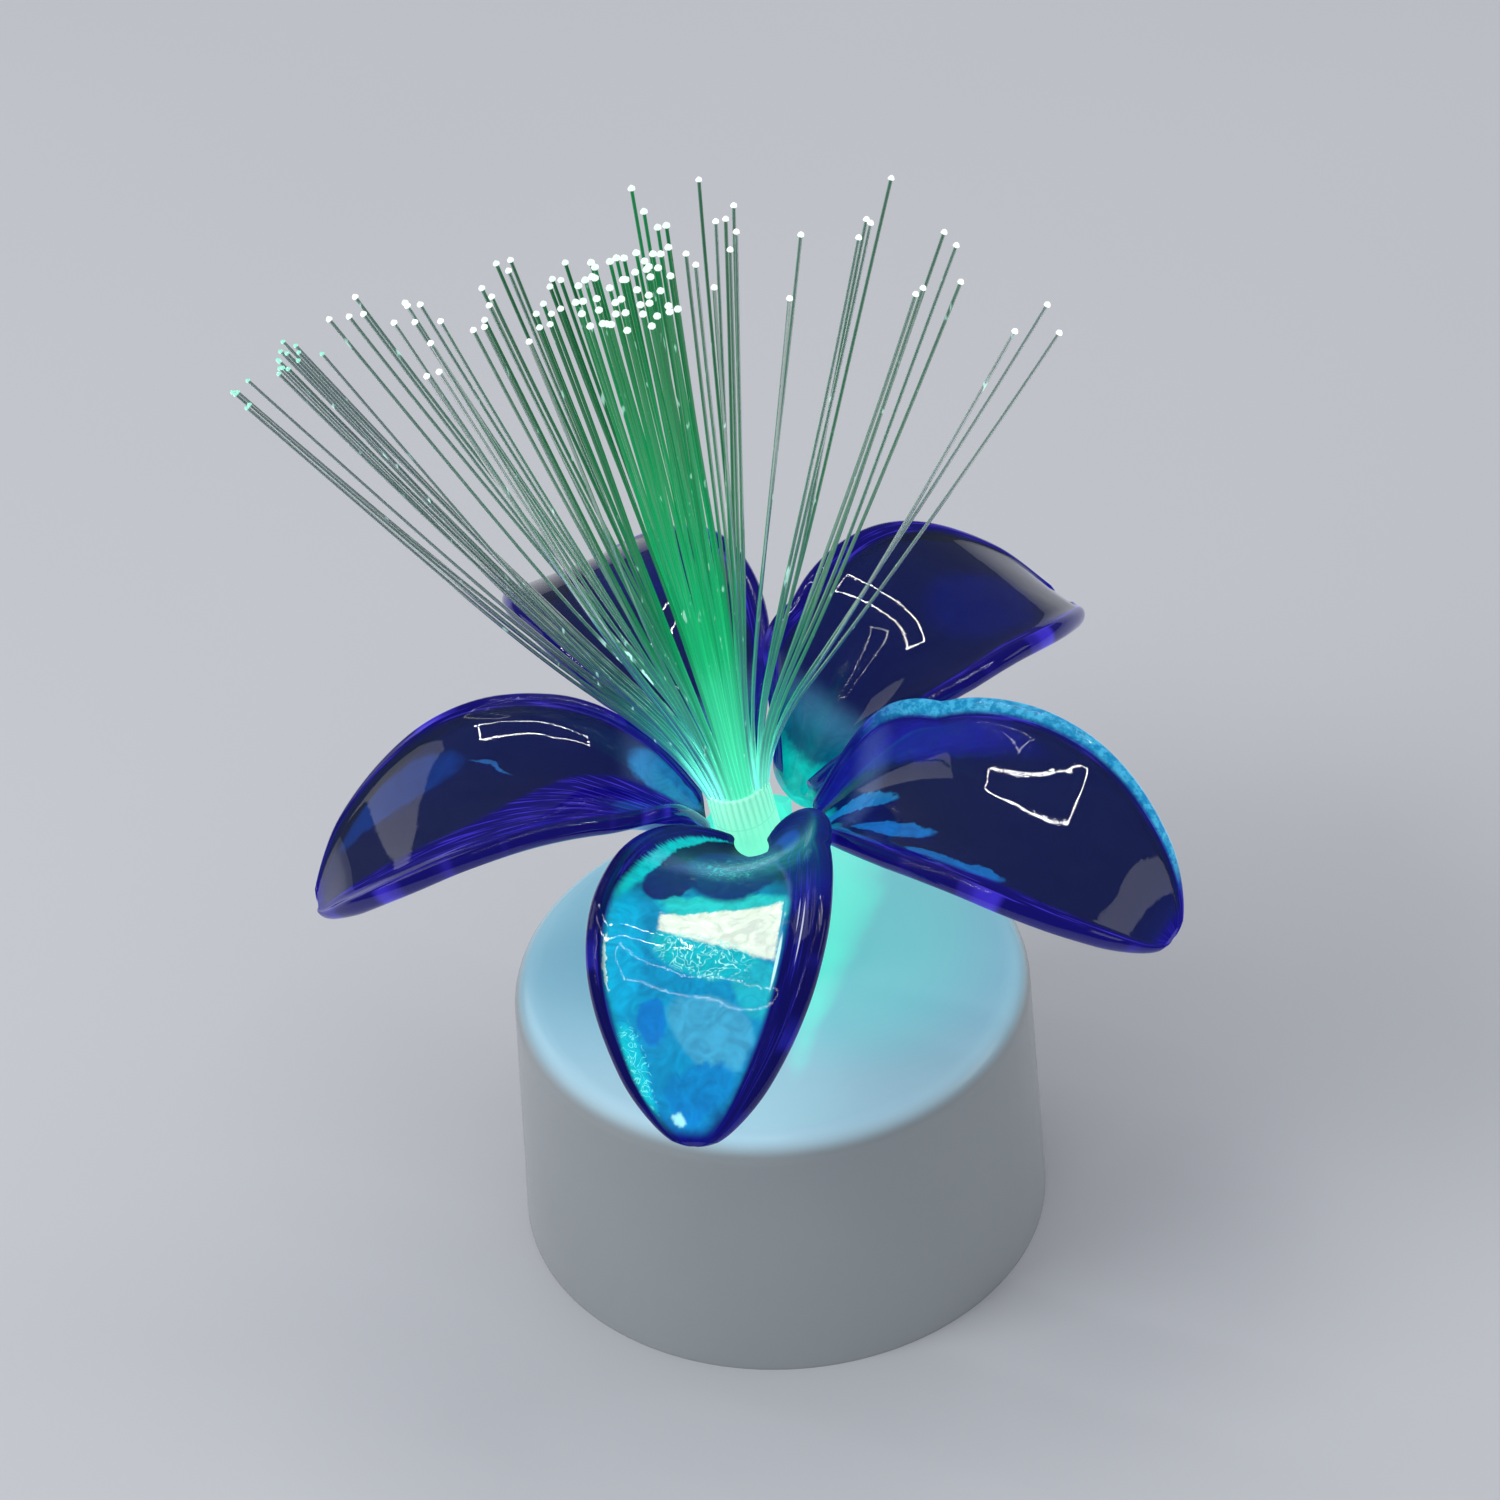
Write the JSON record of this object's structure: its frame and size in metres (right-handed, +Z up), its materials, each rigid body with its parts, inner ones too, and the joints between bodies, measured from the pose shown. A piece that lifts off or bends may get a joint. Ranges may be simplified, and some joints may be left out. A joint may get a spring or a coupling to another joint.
{
  "type": "fiber optic lamp",
  "caption": "Battery table lamp: round milky base, short stem, open flower of clear blue petals and a leaning spray of light-guide fibers; slide switch and twist battery cap below.",
  "frame": {"origin": "centre of the base's flat underside, where the lamp stands", "axes": "+Z up along the stem, -Y towards the front petal, +X to the right of the front"},
  "size_m": [0.0829, 0.0817, 0.1159],
  "materials": {
    "base_shell": "milky translucent white, smooth gloss",
    "cover_plastic": "white, fine matte",
    "cap_plastic": "white, fine matte",
    "screw_steel": "zinc-plated",
    "cell_steel": "bright nickel-plated can",
    "contact_steel": "nickel-plated spring steel",
    "switch_steel": "tinned sheet",
    "switch_black": "black moulded nylon",
    "switch_board_brown": "brown phenolic board",
    "terminal_brass": "silver-plated brass",
    "stem_plastic": "frosted translucent white",
    "holder_plastic": "clear cobalt blue",
    "petal_blue": "clear cobalt blue, high gloss",
    "led_clear": "water-clear epoxy",
    "lead_steel": "tinned steel",
    "sleeve_pale": "translucent pale sleeve",
    "fiber_clear": "clear drawn acrylic, lit",
    "shrink_black": "black heat-shrink tube",
    "wire_red": "red insulated wire",
    "wire_black": "black insulated wire"
  },
  "bodies": {
    "lamp": {"base_housing": "base_shell", "bottom_cover": "cover_plastic", "cover_screws": "screw_steel", "battery_cell_1": "cell_steel", "battery_cell_2": "cell_steel", "battery_cell_3": "cell_steel", "positive_contact": "contact_steel", "negative_contact": "contact_steel", "switch_shell": "switch_steel", "switch_board": "switch_board_brown", "switch_terminals": "terminal_brass", "stem_tube": "stem_plastic", "petal_holder": "holder_plastic", "led_anode_lead": "lead_steel", "led_cathode_lead": "lead_steel", "led_lens": "led_clear", "joint_sleeves": "shrink_black", "red_wire_battery": "wire_red", "red_wire_led": "wire_red", "black_wire_led": "wire_black", "fiber_sleeve": "sleeve_pale", "petal_front": "petal_blue", "petal_right": "petal_blue", "petal_back_right": "petal_blue", "petal_back_left": "petal_blue", "petal_left": "petal_blue", "fiber_tuft_01": "fiber_clear", "fiber_tuft_02": "fiber_clear", "fiber_tuft_03": "fiber_clear", "fiber_tuft_04": "fiber_clear", "fiber_tuft_05": "fiber_clear", "fiber_tuft_06": "fiber_clear", "fiber_tuft_07": "fiber_clear", "fiber_tuft_08": "fiber_clear", "fiber_tuft_09": "fiber_clear", "fiber_tuft_10": "fiber_clear", "fiber_tuft_11": "fiber_clear"},
    "switch_slider": {"switch_slider": "switch_black", "switch_wiper": "contact_steel"},
    "battery_cap": {"battery_cap": "cap_plastic", "cap_contact": "contact_steel", "battery_spring": "contact_steel"}
  },
  "joints": [
    {"name": "switch_slide", "type": "slide", "parent": "lamp", "child": "switch_slider", "axis": [0, -1, 0], "range_m": [0, 0.002]},
    {"name": "cap_twist", "type": "hinge", "parent": "lamp", "child": "battery_cap", "pos_m": [-0.0095, 0, 0], "axis": [0, 0, -1], "range_deg": [0, 60]}
  ]
}
